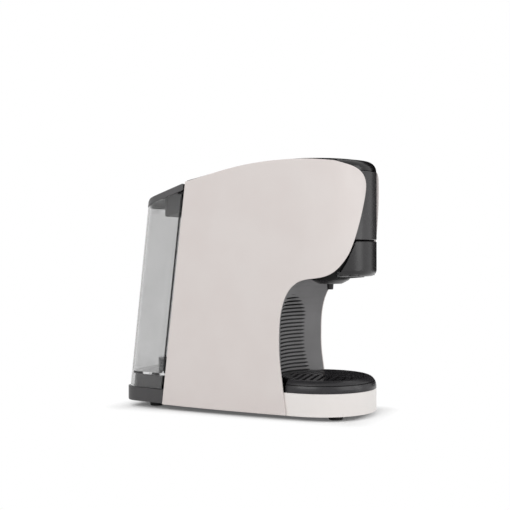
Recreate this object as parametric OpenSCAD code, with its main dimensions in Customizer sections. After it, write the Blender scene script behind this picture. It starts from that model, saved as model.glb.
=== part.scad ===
// Pod coffee machine: a round-nosed body between two wrap-around side panels,
// with a lever-driven brew group, a pod drawer, a lift-off drip tray and a
// lift-off water tank at the rear. Millimetres, front faces -Y, +Z is up,
// and the origin is on the floor under the middle of the footprint.

/* [Body] */
// Overall length, front of the base to back of the dock
depth = 277.3; // [272:0.1:290]
// Radius of the round front of the base
nose_r = 59; // [58:0.5:61]
// Radius in plan of the long gentle curve of each side
side_sweep_r = 1058; // [950:1:1300]
// Radius in plan of the two rear corners
rear_corner_r = 22; // [18:1:26]
// Forward lean of the back of the machine, in degrees
lean = 7.3; // [6.5:0.05:8.5]
// Height of the highest point of the side panels
panel_top = 262.2; // [260:0.1:268]
// How far the crowned top stands above the edges of the panels
crown = 4.5; // [3.5:0.1:6]
// Radius of the arch of the top, seen from the side
top_arch_r = 387; // [375:1:400]
// Angle at which the arch runs out into the straight rear slope
top_slope = 12.5; // [12:0.1:13]
// Distance of the highest point behind the middle of the nose
peak_y = 5.4; // [3:0.1:8]

/* [Side panels] */
// Thickness of a side panel
panel_t = 2.2; // [1.8:0.1:3]
// How far a panel stands proud of the base
panel_proud = 2.5; // [2.4:0.1:3]
// Half width of the dark strip left between the panels at the bulge
strip_half_w = 21; // [18:0.5:24]
// Height of the front bulge of a panel
bulge_z = 235.5; // [231:0.5:240]
// Height of the lower edge of a panel above the underside of the head
chin_rise = 0.2; // [0.2:0.1:2.4]
// How far the panel edge lies behind the middle of the nose at the cup bay
bay_edge_y = 21.4; // [19:0.2:23]
// The same at the floor
toe_edge_y = 13.6; // [11:0.2:15]
// Gap between the rear edge of a panel and the water tank
tank_gap = 3; // [2.5:0.1:4]
// Depth of the dock, from its back forward to the top of the panels' rear edge
tank_bay = 85.9; // [83:0.1:90]

/* [Base and drip tray] */
// Height of the feet under the base
foot_h = 5; // [4:0.5:6]
// Height of the top of the light base skirt
skirt_top = 27.4; // [26:0.2:30]
// Height of the top of the drip grid
grid_top = 39.7; // [38.5:0.1:42]
// Wall of the moulded base, tray and covers
wall = 2.5; // [2:0.1:3]
// Diameter of the screws that hold the base plate
screw_d = 4; // [3:0.5:4.5]

/* [Cup bay] */
// Distance from the middle of the nose forward to the spout
spout_y = 11.5; // [9:0.5:14]
// Radius of the ribbed recess round the cup
recess_r = 55.5; // [54:0.5:56.5]
// Height at which the recess starts to close over
recess_shoulder = 97; // [94:1:100]
// Spacing of the ribs
rib_pitch = 4; // [3:0.1:5]
// Depth of the grooves between the ribs
rib_depth = 2.4; // [1:0.1:2.6]

/* [Head] */
// Height of the underside of the head
head_under = 141.6; // [141:0.1:141.8]
// Height of the drawer front, from the underside of the head to the slot
drawer_h = 39; // [38.4:0.2:41]
// Height of that slot
slot_h = 1.3; // [1:0.1:1.8]
// Radius of the coffee dish under the head
dish_r = 21; // [20:0.5:24]
// Distance of the tip of the spout below the head
spout_drop = 11.9; // [11:0.1:14]
// Depth of the dish below the head
dish_depth = 5.8; // [4.5:0.1:7]

/* [Lever and brew group] */
// Thickness of the lever at its front lip
lip_t = 9.5; // [8.5:0.5:10.5]
// Distance of the lever pin behind the middle of the nose
pin_y = 24; // [22:0.5:26]
// Diameter of the lever pin
pin_d = 5; // [4:0.5:5.5]
// Radial play of the lever on its pin, and of the piston stem in its bridge
play = 0.05; // [0.02:0.01:0.08]
// How far the lever opens, in degrees
lever_open = 70; // [60:1:75]
// Lift of the brew piston over that opening
piston_lift = 6; // [4.5:0.1:7]
// Reach of the cams below the pin axis with the lever closed
cam_h = 20; // [19:0.1:20.5]
// Radius of the brew piston
piston_r = 26; // [25:0.5:27]
// Radius of the piston stem
stem_r = 9; // [7:0.5:9.5]

/* [Pod drawer] */
// Radius of the coffee pod bowl
pod_r = 22.5; // [21:0.5:23]
// Depth of the pod bowl
pod_h = 9.5; // [8:0.5:11]
// Half width of the drawer plate
drawer_half_w = 34.6; // [33.5:0.1:35]
// Gap round the moving drawer
drawer_gap = 0.4; // [0.3:0.05:0.6]

/* [Water tank] */
// Height of the rim of the dock that the tank stands on
dock_top = 20.8; // [20:0.1:23]
// Height of the raised plinth inside the skirt of the tank
plinth_top = 34.5; // [33:0.1:36]
// How far the tank is set in from the dock
tank_inset = 1.6; // [1.2:0.1:2]
// Wall of the clear tank
tank_wall = 2.2; // [1.8:0.1:2.6]
// How far the lid's front edge lies below the top of the panels there
lid_drop = 0.4; // [0:0.1:3]
// Fall of the lid towards the rear, in degrees
lid_slope = 17.8; // [16:0.1:19]
// Depth of the rim of the lid
lid_t = 7; // [6.5:0.1:8]
// Depth of the finger grip cup below the lid's top
grip_depth = 24; // [20:1:25]
// Radius of the outlet valve
valve_r = 7.5; // [6.5:0.5:8.5]

/* [Buttons] */
// Diameter of a button
button_d = 16; // [13:0.5:17]
// Distance from the first button to the rear end of the top
button_lead = 71.2; // [68:0.2:74]
// Spacing of the buttons
button_pitch = 24; // [20:1:26]
// Travel of a button
button_travel = 2; // [1:0.1:2.5]

/* [Hidden] */
$fn = 96;

// Small gaps that are the same all over the machine
seam = 0.1;             // between fixed covers that lie on each other
step = 0.01;            // overshoot of a cut through a face

// Body in plan, measured from the middle of the round nose
nose_y = nose_r - depth / 2;
panel_r = nose_r + panel_proud;
body_inset = panel_t + seam;          // inner body below the panels
body_r = panel_r - body_inset;
sweep_off = side_sweep_r - panel_r;
rear_y = depth - nose_r;              // back of the dock at its widest
dock_round = 8;
dock_low = foot_h + 1;
sky = 400;                            // above everything
rear_widest_z = dock_low + dock_round;
lean_k = tan(lean);
bulge_y = -sqrt(pow(panel_r, 2) - pow(strip_half_w, 2));

// Top of the machine, seen from the side
arch_z = panel_top - top_arch_r;
arch_end_y = peak_y + top_arch_r * sin(top_slope);
arch_end_z = arch_z + top_arch_r * cos(top_slope);
function top_line(y) = y > arch_end_y
    ? arch_end_z - (y - arch_end_y) * tan(top_slope)
    : arch_z + sqrt(pow(top_arch_r, 2) - pow(y - peak_y, 2));

crown_half = nose_r - 2;
crown_r = (pow(crown_half, 2) + pow(crown, 2)) / (2 * crown);

// The slanted rear edge of the panels, and the back of the tank behind it
edge_top_y = rear_y - tank_bay;
edge_top_z = top_line(edge_top_y);
function edge_y(z) = edge_top_y + (edge_top_z - z) * lean_k;
function back_y(z) = rear_y - max(z - rear_widest_z, 0) * lean_k;

// Outline of a side panel: Bezier runs between its named points
function bez(a, b, c, d, n = 9) = [for (i = [0:n - 1]) let (t = i / n)
    snap(a * pow(1 - t, 3) + 3 * b * t * pow(1 - t, 2) + 3 * c * t * t * (1 - t) + d * pow(t, 3))];
// Points are kept to a twentieth of a millimetre, so that no face is almost upright
function snap(p) = [round(p[0] * 20) / 20, round(p[1] * 20) / 20];
chin_z = head_under + chin_rise;
slot_z = head_under + drawer_h;
brow_y = bulge_y + 22.4;
brow = [brow_y, top_line(brow_y)];
bulge = [bulge_y, bulge_z];
cheek = [bulge_y + 13.2, chin_z + 21.8];
chin = [-9.3, chin_z];
bay = [bay_edge_y, 84.4];
toe = [toe_edge_y, foot_h];
arch_steps = 7;
arch_turn = top_slope + asin((peak_y - brow[0]) / top_arch_r);
arch_points = [for (i = [0:arch_steps - 1]) let (a = top_slope - i * arch_turn / arch_steps)
    [peak_y + top_arch_r * sin(a), arch_z + top_arch_r * cos(a)]];
bay_edge = concat(
    bez(chin, chin + [24.8, -3.3], bay + [0, 27.2], bay),
    bez(bay, bay + [0.4, -28.7], toe + [6.6, 53.6], toe, 8), [toe]);
brow_edge = bez(brow, brow + [-12.3, -4.7], bulge + [0, 20.6], bulge);
panel_outline = concat(
    [[edge_top_y, edge_top_z]], arch_points, brow_edge,
    bez(bulge, bulge + [0, -12.5], cheek + [-7.7, 15.2], cheek),
    bez(cheek, cheek + [10.3, -20.3], chin + [-15.6, 2], chin),
    bay_edge, [[edge_y(foot_h), foot_h]]);

// Cup bay: the panel edge swept round an axis far in front of the wall
bay_sweep_y = -87.9;
bay_sweep_x = body_r;
bay_top = head_under - 0.2;
recess_dome = 26.5;
bay_back_y = recess_r - spout_y + wall + 2;

// Heights inside the head, from the floor of the head upwards
floor_t = 2.4;
floor_top = head_under + floor_t;
plate_z = floor_top + drawer_gap;
plate_t = 5.8;
plate_top = plate_z + plate_t;
fascia_z = head_under + 2.2;
slot_low = slot_z - slot_h / 2;
slot_high = slot_z + slot_h / 2;
cup_r = piston_r;
cup_top = slot_low - 8;
seal_gap = 0.3;
seal_t = 4.7;
seal_z = cup_top + seal_gap;
disc_z = seal_z + seal_t;
disc_t = 13;
pin_drop = 6;
pin_z = top_line(pin_y) + crown - pin_drop;
knuckle_r = pin_drop - 0.1;
lid_gap = 0.6;
cam_k = piston_lift / (lever_open * PI / 180);
yoke_gap = 0.3;
yoke_top = pin_z - cam_h - yoke_gap;
yoke_t = 11;
deck_z = yoke_top + piston_lift + 0.7;
yoke_low = yoke_top - yoke_t;
bridge_z = disc_z + disc_t + piston_lift + 0.5;
bridge_t = 6.5;
bridge_top = bridge_z + bridge_t;
hub_r = stem_r + 3;
hub_top = bridge_top + 7.5;
bridge_half_w = nose_r - 17;
chassis_y = bay_back_y;
chassis_t = 3;
chassis_half_w = nose_r - 9;
base_t = 3;
chassis_foot = foot_h + base_t;
frame_top = 226;

// Drawer
rail_x = drawer_half_w + drawer_gap;
rail_w = 4;
cheek_r = body_r - wall - 0.5;          // outside of the inner cheeks
cheek_in = cheek_r - 2;
function cheek_y(x) = -sqrt(pow(cheek_in, 2) - pow(x, 2));
fascia_back = bulge_y + 21.4;
rail_front = fascia_back + drawer_gap;
drawer_back = chassis_y - 3;

// Water tank
tank_floor = plinth_top + 1.5;
tank_low = dock_top + 0.5;
lid_top = edge_top_z - lid_drop;
function lid_plane(y) = lid_top - (y - edge_top_y) * tan(lid_slope);
lid_front = edge_y(lid_top) + tank_gap;
lid_roll = 16;
lid_roll_y = back_y(lid_top - 15) - tank_inset - lid_roll + 1;
lid_roll_z = lid_plane(lid_roll_y) - lid_roll / cos(lid_slope);
valve_y = rear_y - 33;
hinge_r = 1.5;
hinge_round = 4;
hinge_y = lid_front + hinge_round + 0.2;
hinge_z = lid_plane(hinge_y) - (hinge_round + 0.05) / cos(lid_slope);
hinge_x = 34;
lid_corner_r = hinge_round + 1.7;       // reach of the lid's front edge

// Buttons, in a row along the top, and the board under them
button_y0 = edge_top_y - button_lead;
board_z = 232;
board_t = 1.6;
button_seat = board_z + board_t + 11;
lens_y = button_y0 + 1.5 * button_pitch;
board_y = button_y0 - 12.5;
board_end_y = button_y0 + 2 * button_pitch + 12;
board_half_w = 34;

// ---------- shared shapes ----------

// The body in plan, moved in by inset, with its back at rear
module plan(inset, rear = rear_y) {
    r = panel_r - inset;
    sweep = side_sweep_r - inset;
    corner = rear_corner_r - inset;
    corner_y = rear - rear_corner_r;
    corner_x = sqrt(pow(sweep - corner, 2) - pow(corner_y, 2)) - sweep_off;
    touch_y = corner_y * sweep / (sweep - corner);
    intersection() {
        circle(r);
        translate([-r - 1, -r - 1]) square([2 * r + 2, r + 1]);
    }
    intersection() {
        translate([-sweep_off, 0]) circle(sweep, $fn = 720);
        translate([sweep_off, 0]) circle(sweep, $fn = 720);
        translate([-r, 0]) square([2 * r, touch_y]);
    }
    for (s = [-1, 1]) translate([s * corner_x, corner_y]) circle(corner);
    translate([-corner_x, corner_y - 5]) square([2 * corner_x, rear - inset - corner_y + 5]);
}

// Upright prism of the plan between two heights
module plan_prism(inset, low, high) translate([0, 0, low]) linear_extrude(high - low) plan(inset);

// Prism across the machine from an outline in the side view
module across(x0, x1, outline) translate([x0, 0, 0]) rotate([90, 0, 90])
    linear_extrude(x1 - x0) polygon(outline);

// Block between two corners
module block(low, high) translate(low) cube(high - low);

// Everything behind the front edge of the panels, moved forward by gap
module behind_panel_edge(gap) for (d = [[0, -gap, 0], [0, 0, -gap]])
    translate(d) across(-100, 100, panel_outline);

// Space under the crowned top, lowered by drop, back to the end of the slope
module under_crown(drop) translate([0, peak_y, arch_z]) rotate([0, 90, 0]) rotate([0, 0, 180 - top_slope]) {
    rotate_extrude(angle = top_slope + 18, $fn = 360) crown_section(drop);
    rotate([90, 0, 0]) linear_extrude((edge_top_y - arch_end_y) * 1.3 + 4) crown_section(drop);
}
module crown_section(drop) intersection() {
    translate([top_arch_r + crown - drop - crown_r, 0]) circle(crown_r, $fn = 360);
    translate([top_arch_r - 120, -70]) square([130, 140]);
}

// Slice of the rear of the body, from the edge line to the leaning back
module rear_slice(z, inset, front) translate([0, 0, z]) linear_extrude(step) intersection() {
    plan(inset, back_y(z));
    translate([-100, front]) square([200, 300]);
}
// Leaning block between two heights; gap is from the panel edge to its front
module leaning_block(low, high, inset, gap) hull() {
    rear_slice(low, inset, edge_y(low) + gap);
    rear_slice(high - step, inset, edge_y(high) + gap);
}

// Region below the sloping plane of the lid, lowered by drop
module below_lid(drop) across(-100, 100, [
    [100, 0], [260, 0], [260, lid_plane(260) - drop], [100, lid_plane(100) - drop]]);
// The same for the outside of the lid, that rolls over at the rear
module lid_outside(drop) across(-100, 100, concat([[100, 0], [lid_roll_y + lid_roll - drop, 0]],
    [for (a = [90:-8:lid_slope]) [lid_roll_y, lid_roll_z] + (lid_roll - drop) * [sin(a), cos(a)]],
    [[lid_roll_y, lid_roll_z] + (lid_roll - drop) * [sin(lid_slope), cos(lid_slope)],
    [100, lid_plane(100) - drop / cos(lid_slope)]]));

// Cylinder across the machine on the axis of the lever pin
module pin_drum(r, half_w) translate([-half_w, pin_y, pin_z]) rotate([0, 90, 0])
    cylinder(r = r, h = 2 * half_w);

// Round-wire compression spring standing on its lower end
module coil_spring(r, wire, turns, h) {
    per_turn = 14;
    sides = 6;
    n = turns * per_turn;
    points = [for (i = [0:n], j = [0:sides - 1]) let (
        a = 360 * i / per_turn, b = 360 * j / sides, rr = r - wire + wire * cos(b))
        [rr * cos(a), rr * sin(a), wire + (h - 2 * wire) * i / n + wire * sin(b)]];
    skin = [for (i = [0:n - 1], j = [0:sides - 1]) let (k = (j + 1) % sides)
        [i * sides + j, i * sides + k, (i + 1) * sides + k, (i + 1) * sides + j]];
    ends = [[for (j = [sides - 1:-1:0]) j], [for (j = [0:sides - 1]) n * sides + j]];
    polyhedron(points, concat([for (f = skin) [f[3], f[2], f[1], f[0]]], [for (f = ends)
        [for (q = [sides - 1:-1:0]) f[q]]]));
}

// Hose along Y from its start, round an elbow and straight down to its end;
// over makes it longer at both ends, to cut the bore
module hose_y_then_z(start, end, r, bend, over) {
    run_y = end[1] - start[1] - bend;
    run_z = start[2] - end[2] - bend;
    translate(start - [0, over, 0]) rotate([-90, 0, 0]) cylinder(r = r, h = run_y + over);
    translate(end - [0, 0, over]) cylinder(r = r, h = run_z + over);
    translate([start[0], end[1] - bend, start[2] - bend]) rotate([0, -90, 0])
        rotate_extrude(angle = 90) translate([bend, 0]) circle(r, $fn = 48);
}

// ---------- base ----------

frame_screw_y = chassis_y + 5;
front_screw = [nose_r - 14, -12];
front_foot = [nose_r - 26, -nose_r / 2];
rear_foot = [26, rear_y - 36];
function both_sides(p) = [[-p[0], p[1]], p];
base_screw_at = concat(both_sides(front_screw), both_sides([34, frame_screw_y]));
foot_at = concat(both_sides(front_foot), both_sides(rear_foot));
base_inset = panel_proud + wall + 0.4;

module base_plate() color("dimgray") nose() difference() {
    union() {
        intersection() {
            plan_prism(base_inset, foot_h, chassis_foot);
            block([-100, -100, 0], [100, chassis_y + 0.5, 100]);
        }
        intersection() {
            plan_prism(body_inset + 0.2, foot_h, chassis_foot);
            block([-100, chassis_y + 0.5, 0], [100, edge_y(dock_low) - 1, 100]);
        }
    }
    for (p = base_screw_at) translate([p[0], p[1], foot_h - 1]) cylinder(d = screw_d + 0.4, h = base_t + 2);
}

module base_skirt() color("gainsboro") nose() {
    difference() {
        intersection() {
            plan_prism(panel_proud, foot_h - 0.5, skirt_top);
            block([-100, -100, 0], [100, chassis_y, 100]);
        }
        plan_prism(panel_proud + wall, 0, skirt_top + 1);
        difference() {
            behind_panel_edge(0.3);
            plan_prism(body_inset, 0, skirt_top + 1);
        }
    }
    for (p = base_screw_at) if (p[1] < 0) screw_boss(p);
}
// Screw boss joined to the skirt by a short web
module screw_boss(p) translate([0, 0, foot_h + base_t]) {
    reach = sqrt(pow(body_r - 1, 2) - pow(p[1], 2));
    difference() {
        union() {
            translate([p[0], p[1], 0]) cylinder(d = 9, h = 4.5);
            translate([p[0] > 0 ? p[0] : -reach, p[1] - 1, 0]) cube([reach - abs(p[0]), 2, 4.5]);
        }
        translate([p[0], p[1], -1]) cylinder(d = screw_d, h = 7);
    }
}

module feet() color("black") nose() for (p = foot_at) translate([p[0], p[1], 0])
    cylinder(d1 = 14, d2 = 16, h = p[1] == rear_foot[1] ? dock_low : foot_h);

module base_screws() color("silver") nose() for (p = base_screw_at) translate([p[0], p[1], foot_h - 2]) {
    cylinder(d = screw_d + 3, h = 2);
    cylinder(d = screw_d - 0.02, h = 8);
}

// ---------- outer covers ----------

module side_panel() color("gainsboro") nose() intersection() {
    across(strip_half_w / 2, 80, panel_outline);
    difference() {
        plan_prism(0, 0, sky);
        plan_prism(panel_t, -1, sky + 1);
    }
}
module side_panel_left() mirror([1, 0, 0]) side_panel();
module side_panel_right() side_panel();

module rear_cover() color("dimgray") nose() intersection() {
    low = chassis_foot;
    high = board_z + board_t - seam;
    plan_prism(body_inset, 0, sky);
    difference() {
        across(-80, 80, [
            [edge_y(low) - 1, low], [edge_y(high) - 1, high],
            [edge_y(high) - 1 - wall, high], [edge_y(low) - 1 - wall, low]]);
        translate([0, 0, pipe_z]) rotate([-90, 0, 0]) cylinder(r = nipple_r + 0.5, h = rear_y);
        translate([gland_x, 0, gland_z]) rotate([-90, 0, 0]) cylinder(r = gland_r, h = rear_y);
    }
}

module top_cover() color("dimgray") nose() difference() {
    intersection() {
        under_crown(0);
        plan_prism(body_inset + 0.2, 200, sky);
        block([-100, pin_y + pin_drop - 0.4, board_z + board_t], [100, edge_top_y - 1, sky]);
    }
    intersection() {
        under_crown(wall);
        plan_prism(body_inset + 0.2 + wall, 190, sky + 1);
        block([-100, pin_y - 1, 190], [100, edge_top_y - 1 - wall, sky]);
        difference() {
            block([-100, 0, 190], [100, 200, sky]);
            for (x = [-30, 30], y = [board_y + 4, board_end_y - 4])
                translate([x, y, board_z + board_t]) cylinder(r = 3, h = 60);
        }
    }
    pin_drum(knuckle_r + lid_gap, 70);
    for (i = [0:2]) translate([0, button_y0 + i * button_pitch, 200])
        cylinder(d = button_d + 0.6, h = 100);
    translate([button_d * 0.9, lens_y, 200]) cylinder(d = 4.2, h = 100);
}

module head_front_cover() color("dimgray") nose() difference() {
    intersection() {
        plan_prism(body_inset, slot_high, sky);
        under_crown(lip_t + lid_gap);
        block([-100, -100, 0], [100, 8, sky]);
    }
    plan_prism(body_inset + wall, 0, sky + 1);
    rotate_extrude() polygon([[body_r - slot_chamfer, slot_high - step],
        [body_r + 1, slot_high - step], [body_r + 1, slot_high + 1 + slot_chamfer]]);
}
slot_chamfer = 0.8;

module head_deck() color("dimgray") nose() intersection() {
    plan_prism(body_inset + wall + seam, deck_z, deck_z + 2);
    block([-100, -100, 0], [100, pin_y - cam_h - 3, sky]);
}

floor_front = -spout_y - dish_r - 1.5;
module head_floor() color("dimgray") nose() {
    difference() {
        intersection() {
            plan_prism(body_inset + wall + 0.5, head_under, floor_top);
            block([-100, floor_front, 0], [100, chassis_y, sky]);
        }
        translate([0, -spout_y, 0]) cylinder(r = dish_r - 3, h = sky);
    }
    difference() {
        intersection() {
            cylinder(r = cheek_r, h = slot_high + 3);
            for (c = [[floor_front, floor_top - step], [cheek_y(drawer_half_w + 0.8), plate_z + 5],
                [cheek_y(cup_r + 5), plate_top + 1]]) block([-100, c[0], c[1]], [100, -5, sky]);
        }
        cylinder(r = cheek_in, h = sky);
    }
}

// ---------- cup bay ----------

// Wall of the bay: the panel edge swept round, less the ribbed recess
module bay_wall() color("gray") nose() difference() {
    intersection() {
        plan_prism(body_inset, skirt_top + seam, bay_top);
        block([-100, -3, 0], [100, bay_back_y, sky]);
    }
    bay_sweep();
    bay_recess();
    translate([0, -spout_y, head_under - dish_depth - 1]) cylinder(r = dish_r + 0.3, h = dish_depth + 9);
    for (s = [-1, 1]) translate([s * (nose_r - 14), bay_back_y - 7, 0])
        block([-8, -3, 46], [8, 20, 100]);
}
module bay_sweep() {
    edge = [for (p = bay_edge) [sqrt(pow(p[0] - bay_sweep_y, 2) + pow(bay_sweep_x, 2)), p[1]]];
    translate([0, bay_sweep_y, 0]) rotate_extrude($fn = 180)
        polygon(concat([[0, chin[1]]], edge, [[0, toe[1]]]));
}
module bay_recess() {
    low = skirt_top;
    high = recess_shoulder + 33;
    ribs = floor((high - low) / rib_pitch);
    translate([0, -spout_y, 0]) rotate_extrude($fn = 180) polygon(concat([[0, low]],
        [for (i = [0:ribs - 1], p = [[0, 0], [0.3, 0], [0.38, 1], [0.92, 1]])
            let (z = low + (i + p[0]) * rib_pitch) [recess_wall(z) - p[1] * rib_depth, z]],
        [[recess_wall(high), high], [0, high]]));
}
function recess_wall(z) = z < recess_shoulder ? recess_r
    : recess_r - pow(z - recess_shoulder, 2) / (2 * recess_dome);

// ---------- drip tray ----------

tray_floor = foot_h + base_t + 6;
grid_t = 3;

// Round tray in plan: the nose in front, the recess of the bay behind
tray_gap = 3;
module tray_plan(inset) {
    intersection() {
        circle(nose_r - inset);
        translate([-100, -100]) square([200, 100 + toe_edge_y + 2]);
    }
    intersection() {
        circle(nose_r - inset);
        translate([0, -spout_y]) circle(recess_r - rib_depth - tray_gap - inset);
    }
}
// Region under the rolled shoulder that the tray and its grid share
module tray_shoulder() rotate_extrude() polygon(concat([[0, 0], [nose_r, 0]],
    [for (a = [0:10:90]) [nose_r - roll_w + roll_w * cos(a), grid_top - roll_h + roll_h * sin(a)]],
    [[0, grid_top + 0.5]]));

module drip_tray() color("dimgray") nose() difference() {
    union() {
        intersection() {
            slab(skirt_top + 0.3, grid_low - grid_seam) tray_plan(0);
            tray_shoulder();
        }
        slab(tray_floor, skirt_top + 1) tray_plan(tray_rim);
    }
    slab(tray_floor + 2, 100) tray_plan(tray_rim + 2);
    slab(skirt_top + 3, 100) tray_plan(tray_rim);
}
module slab(low, high) translate([0, 0, low]) linear_extrude(high - low) children();

// Round cover with a rolled edge, a rim that drops into the tray, and slots
roll_w = 9;
roll_h = 10.6;
grid_low = grid_top - 4.2;
grid_seam = 0.8;
tray_rim = wall + 1.5;
slot_pitch = 7.5;
slot_w = 3.6;
slot_turn = 9;
slots_r = 47;
module drip_grid() color("dimgray") nose() {
    rim_t = 2;
    difference() {
        union() {
            intersection() {
                slab(grid_low, grid_top + 1) tray_plan(0);
                tray_shoulder();
            }
            slab(grid_low - 3, grid_low + 1) difference() {
                tray_plan(tray_rim + 0.4);
                tray_plan(tray_rim + 0.4 + rim_t);
            }
        }
        slab(grid_low - 1, grid_top - grid_t) tray_plan(tray_rim + 0.4 + rim_t);
        slab(grid_low, sky) intersection() {
            circle(slots_r);
            tray_plan(tray_rim + 0.4 + rim_t + 1.5);
            for (m = [0, 1], i = [-6:6]) mirror([m, 0]) translate([1.6, i * slot_pitch]) rotate(-slot_turn)
                translate([0, -slot_w / 2]) square([slots_r, slot_w]);
        }
    }
    block([-1, -nose_r + tray_rim + 2, grid_low - 2], [1, bay_back_y - 18, grid_top - grid_t + 0.3]);
}

// ---------- inner frame ----------

shelf_z = head_under - 23.6;
shelf_t = 3;
shelf_d = 60;
shelf_half_w = 40;
pipe_z = chassis_foot + 8;
nipple_r = 2.9;
nipple_bore_r = 1.6;
nipple_len = 5;
suction_end = edge_y(pipe_z) - 9;
hose_z = bridge_top + 3.8;
bridge_screw_x = 28;
pump_y = chassis_y + 27;
module chassis() color("slategray") nose() difference() {
    union() {
        block([-chassis_half_w, chassis_y, chassis_foot], [chassis_half_w, chassis_y + chassis_t, frame_top]);
        block([-chassis_half_w, chassis_y, chassis_foot], [chassis_half_w, chassis_y + 9, chassis_foot + 3]);
        block([-shelf_half_w, chassis_y, shelf_z], [shelf_half_w, chassis_y + shelf_d, shelf_z + shelf_t]);
        for (s = [-1, 1]) translate([s * (shelf_half_w - 2), chassis_y + 1, shelf_z + 1])
            across(-1.5, 1.5, [[0, 0], [shelf_d - 5, 0], [0, -46]]);
    }
    for (p = base_screw_at) translate([p[0], p[1], chassis_foot - 1]) cylinder(d = screw_d, h = 6);
    translate([0, chassis_y - 1, hose_z]) rotate([-90, 0, 0]) cylinder(r = hose_out, h = 6);
    translate([0, pump_y, shelf_z - 1]) cylinder(r = hose_out + 1, h = 6);
    for (s = [-1, 1]) translate([s * bridge_screw_x, chassis_y - 1, bridge_z + bridge_t / 2])
        rotate([-90, 0, 0]) cylinder(d = screw_d, h = 6);
}

// Cast bridge over the brew piston, with the ears that carry the lever pin
cam_x = 8;
cam_t = 6;
cam_hub_r = pin_d / 2 + 1.9;
arm_x = cam_x + cam_t;
arm_t = 5.4;
ear_x = arm_x + arm_t + 2;
ear_t = 4;
ear_r = 3.8;
module group_bridge() color("silver") nose() difference() {
    union() {
        block([-bridge_half_w, -spout_y - 26, bridge_z], [bridge_half_w, chassis_y, bridge_top]);
        translate([0, -spout_y, bridge_z]) cylinder(r = hub_r, h = hub_top - bridge_z);
        for (s = [-1, 1]) translate([s * (ear_x + ear_t / 2) - ear_t / 2, 0, 0]) {
            translate([0, pin_y - ear_r, bridge_top - step]) cube([ear_t, 2 * ear_r, pin_z - bridge_top]);
            translate([0, pin_y, pin_z]) rotate([0, 90, 0]) cylinder(r = ear_r, h = ear_t);
            translate([0, pin_y, 0]) across(0, ear_t, [[-14, bridge_top - step], [14, bridge_top - step],
                [ear_r - step, bridge_top + 30], [-ear_r + step, bridge_top + 30]]);
        }
        translate([0, -spout_y + hub_r - 2, hose_z]) rotate([-90, 0, 0]) cylinder(r = nipple_r, h = 12);
    }
    translate([0, -spout_y, 0]) cylinder(r = stem_r + play, h = sky);
    translate([0, -spout_y + hub_r - 4, hose_z]) rotate([-90, 0, 0]) cylinder(r = nipple_bore_r, h = 20);
    translate([-60, pin_y, pin_z]) rotate([0, 90, 0]) cylinder(d = pin_d + 0.02, h = 120);
    for (s = [-1, 1]) translate([s * bridge_screw_x, chassis_y - 9, bridge_z + bridge_t / 2])
        rotate([-90, 0, 0]) cylinder(d = screw_d, h = 10);
}
module bridge_screws() color("silver") nose() for (s = [-1, 1])
    translate([s * bridge_screw_x, chassis_y + chassis_t, bridge_z + bridge_t / 2]) rotate([90, 0, 0]) {
        cylinder(d = screw_d - 0.02, h = 11);
        translate([0, 0, -2.2]) cylinder(d = screw_d + 3, h = 2.2);
    }

module drawer_rails() color("slategray") nose() for (s = [-1, 1])
    block([s > 0 ? rail_x : -rail_x - rail_w, rail_front, floor_top],
        [s > 0 ? rail_x + rail_w : -rail_x, drawer_back, plate_top + 6]);

// ---------- lever and brew group ----------

lever_inset = body_inset + 0.4;
lever_skin = 3;
lever_rim = 7;
module lever() color("dimgray") nose() difference() {
    union() {
        lever_plate();
        for (x = [[-arm_x - arm_t, -arm_x], [-cam_x, cam_x], [arm_x, arm_x + arm_t]])
            translate([x[0], pin_y, pin_z]) rotate([0, 90, 0]) cylinder(r = knuckle_r, h = x[1] - x[0]);
    }
    pin_drum(pin_d / 2 + play, ear_x + ear_t + 1.5);
    for (s = [-1, 1]) translate([s * (ear_x + ear_t / 2) - ear_t / 2 - 0.4, pin_y, pin_z])
        rotate([0, 90, 0]) cylinder(r = ear_r + 0.4, h = ear_t + 0.8);
    for (s = [-1, 1]) translate([s * (ear_x + ear_t / 2), pin_y, pin_z])
        block([-ear_t / 2 - 0.4, 2.4, -10], [ear_t / 2 + 0.4, 12, 20]);
    for (x = [-cam_x - cam_t, cam_x]) translate([x, pin_y, pin_z])
        rotate([0, 90, 0]) cylinder(r = cam_hub_r + seam, h = cam_t);
}
// Crowned plate with a deep rim and a rounded lip, hollow below
module lever_plate() difference() {
    intersection() {
        under_crown(0);
        plan_prism(lever_inset, 200, sky);
        union() {
            lip_edge();
            pin_drum(knuckle_r, 70);
        }
    }
    under_crown(lip_t);
    intersection() {
        under_crown(lever_skin);
        plan_prism(lever_inset + lever_rim, 190, sky + 1);
        block([-100, -100, 180], [100, pin_y + 15, sky]);
    }
}
// Rolls the front top edge of the lever round the nose, fills it up to the edges
// of the panels and ends it over the pin
lip_round = 10;
lip_slope = 8;
lip_back = 1.5;
lip_r = panel_r - lever_inset - lip_round;
lip_z = top_line(-lip_r) + crown - lip_round - 0.2;
lip_low = lip_z - 8;
module lip_edge() {
    intersection() {
        rotate_extrude() polygon(concat([[0, lip_low], [lip_r + lip_round, lip_low]],
            [for (i = [8:-1:0]) let (a = lip_slope + i * (90 - lip_slope) / 8)
                [lip_r, lip_z] + lip_round * [sin(a), cos(a)]],
            [[0, lip_z + lip_round / cos(lip_slope) + lip_r * tan(lip_slope)]]));
        block([-100, -100, 0], [100, 0, sky]);
    }
    across(-100, 100, concat(
        [[pin_y, lip_low], [pin_y, sky], [brow_y + lip_back, sky]],
        [for (p = brow_edge) if (p[1] > lip_low) p + [lip_back, 0]], [[bulge_y + lip_back, lip_low]]));
}

module lever_pin() color("silver") nose() translate([-ear_x - ear_t - 1, pin_y, pin_z]) rotate([0, 90, 0])
    cylinder(d = pin_d, h = 2 * (ear_x + ear_t + 1));

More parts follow.
